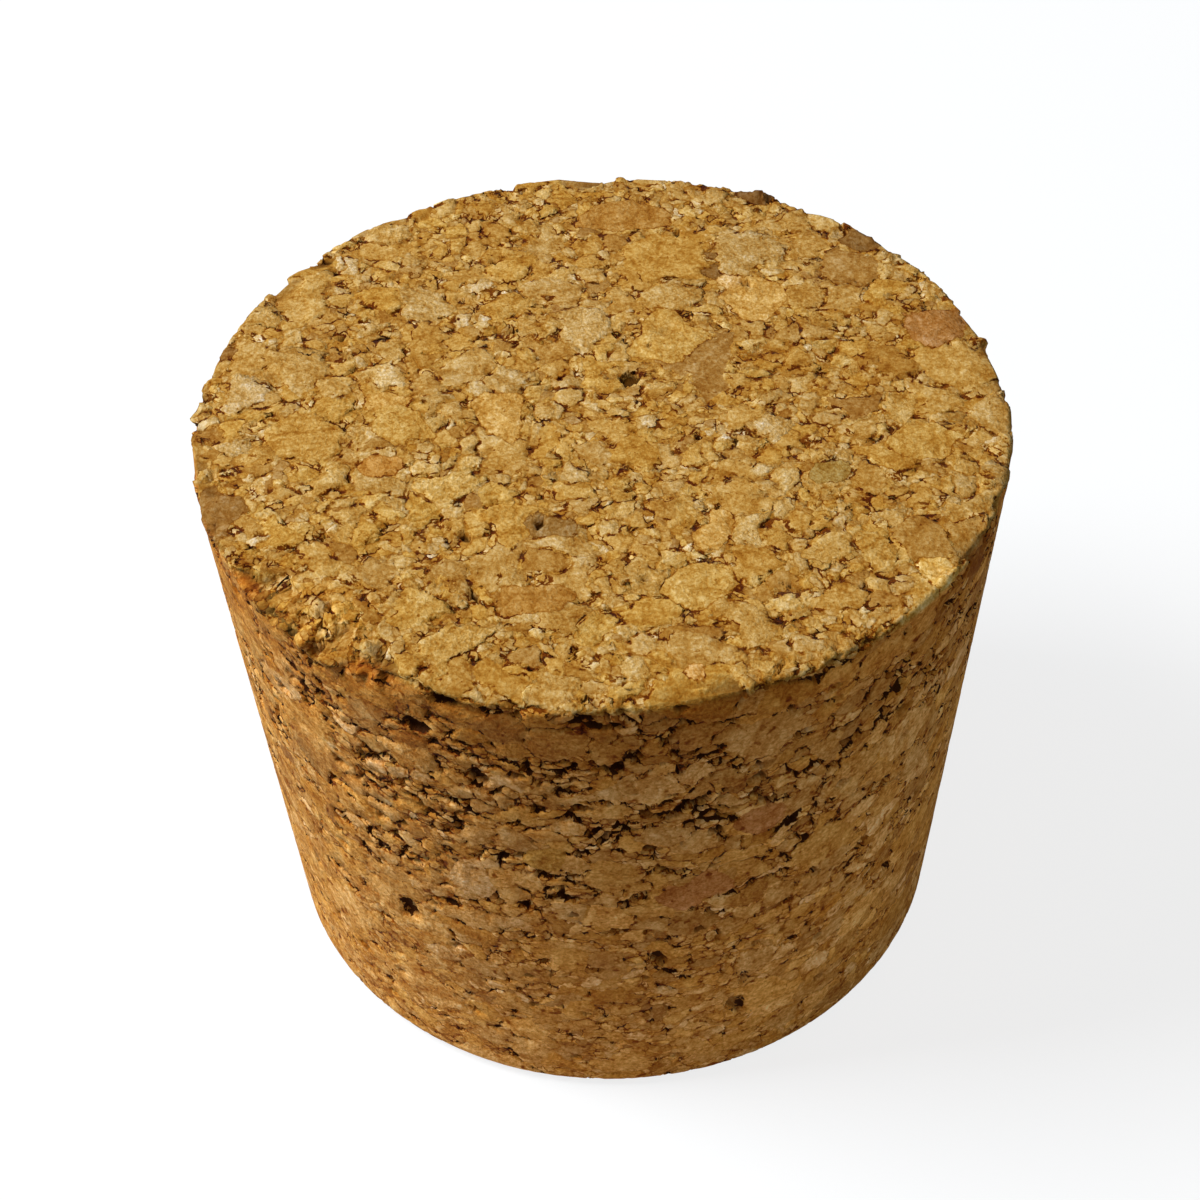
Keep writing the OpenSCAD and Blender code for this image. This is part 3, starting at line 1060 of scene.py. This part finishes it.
def paper():
    """White paper. For the camera it has the albedo 1 - glow and the glow, which rises to 1 far
    from the plug; for other rays it has a falling albedo and no glow."""
    made, tree, shader = plain_material("white paper", 1.0, 0.0)
    from_plug = vector("LENGTH", node(tree, "ShaderNodeTexCoord", output="Object"))
    albedo = from_plug.ramp(NEAR[0], FAR[0], NEAR[1], FAR[1])
    glow = from_plug.ramp(GLOW_FROM[0], GLOW_WHOLE[0], GLOW_FROM[1], GLOW_WHOLE[1])
    seen = seen_by_camera(tree)
    tree.links.new(blend(seen, albedo, 1.0 - glow).socket, shader.inputs["Base Color"])
    tree.links.new((seen * glow).socket, shader.inputs["Emission Strength"])
    shader.inputs["Emission Color"].default_value = WHITE
    return made


corners = [(x * PAPER_HALF, y * PAPER_HALF, 0) for x, y in ((-1, -1), (1, -1), (1, 1), (-1, 1))]
sheet = new_mesh("floor", corners, [(0, 1, 2, 3)])
sheet.data.materials.append(paper())

room = bpy.data.worlds.new("studio")
bpy.context.scene.world = room
room.use_nodes = True
background = room.node_tree.nodes["Background"]
background.inputs["Color"].default_value = WHITE
strength = blend(seen_by_camera(room.node_tree), ROOM, 1.0)
room.node_tree.links.new(strength.socket, background.inputs["Strength"])
print("white for the camera, and a room of", ROOM, "for the plug")

# %% [markdown]
# ## Lamps
# A soft key lamp stands high on the left, a weak window lights the left side with the sky's blue,
# and a low fill on the right keeps the shaded side readable.

# %% Three soft lamps
LAMPS = (
    # name, azimuth and elevation in degrees, distance and size in m, watts, colour
    ("key", 178, 52, 0.6, 0.25, 4.15, (1, 1, 1)),
    ("window", 172, 15, 0.6, 0.4, 2.1, (0.27, 0.66, 1.0)),
    ("fill", -30, 12, 0.6, 0.4, 0.76, (0.66, 0.88, 1.0)),
)


def lamp(name, azimuth, elevation, distance, size, watts, colour):
    """A square area lamp that looks at the plug's middle."""
    data = bpy.data.lights.new(name, "AREA")
    data.energy, data.size, data.color = watts, size, colour
    a, e = np.radians(azimuth), np.radians(elevation)
    way = Vector((np.cos(e) * np.cos(a), np.cos(e) * np.sin(a), np.sin(e)))
    piece = bpy.data.objects.new(name, data)
    piece.location = Vector((0, 0, length / 2)) + way * distance
    piece.rotation_euler = way.to_track_quat("Z", "Y").to_euler()
    bpy.context.scene.collection.objects.link(piece)


for settings in LAMPS:
    lamp(*settings)
print(len(LAMPS), "lamps,", sum(settings[5] for settings in LAMPS), "watts in all")

# %% [markdown]
# ## Camera
# The camera is held in the hand, close to the plug, so the taper looks stronger than it is. It
# looks at the large end's middle from in front and above, and is then turned by three small angles.

# %% The camera
EYE = 6.2 * top_r
ELEVATION = 39.9
PAN, TILT, ROLL = 0.15, -4.26, -1.74
LENS, SENSOR = 75.99, 36


def turned(axis, degrees):
    """A rotation about one of the camera's own axes."""
    return Matrix.Rotation(np.radians(degrees), 4, axis)


data = bpy.data.cameras.new("camera")
data.sensor_width, data.lens, data.clip_start = SENSOR, LENS, MM
camera = bpy.data.objects.new("camera", data)
e = np.radians(ELEVATION)
eye = Matrix.Translation(Vector((0, -np.cos(e), np.sin(e))) * EYE + Vector((0, 0, length)))
small_turns = turned("Y", PAN) @ turned("X", TILT) @ turned("Z", ROLL)
camera.matrix_world = eye @ turned("X", 90 - ELEVATION) @ small_turns
bpy.context.scene.collection.objects.link(camera)
bpy.context.scene.camera = camera
print(f"the eye is {EYE / MM:.0f} mm from the large end")

# %% [markdown]
# ## Closing
# The view transform is set to Standard.

# %% Finish
bpy.context.scene.view_settings.view_transform = "Standard"
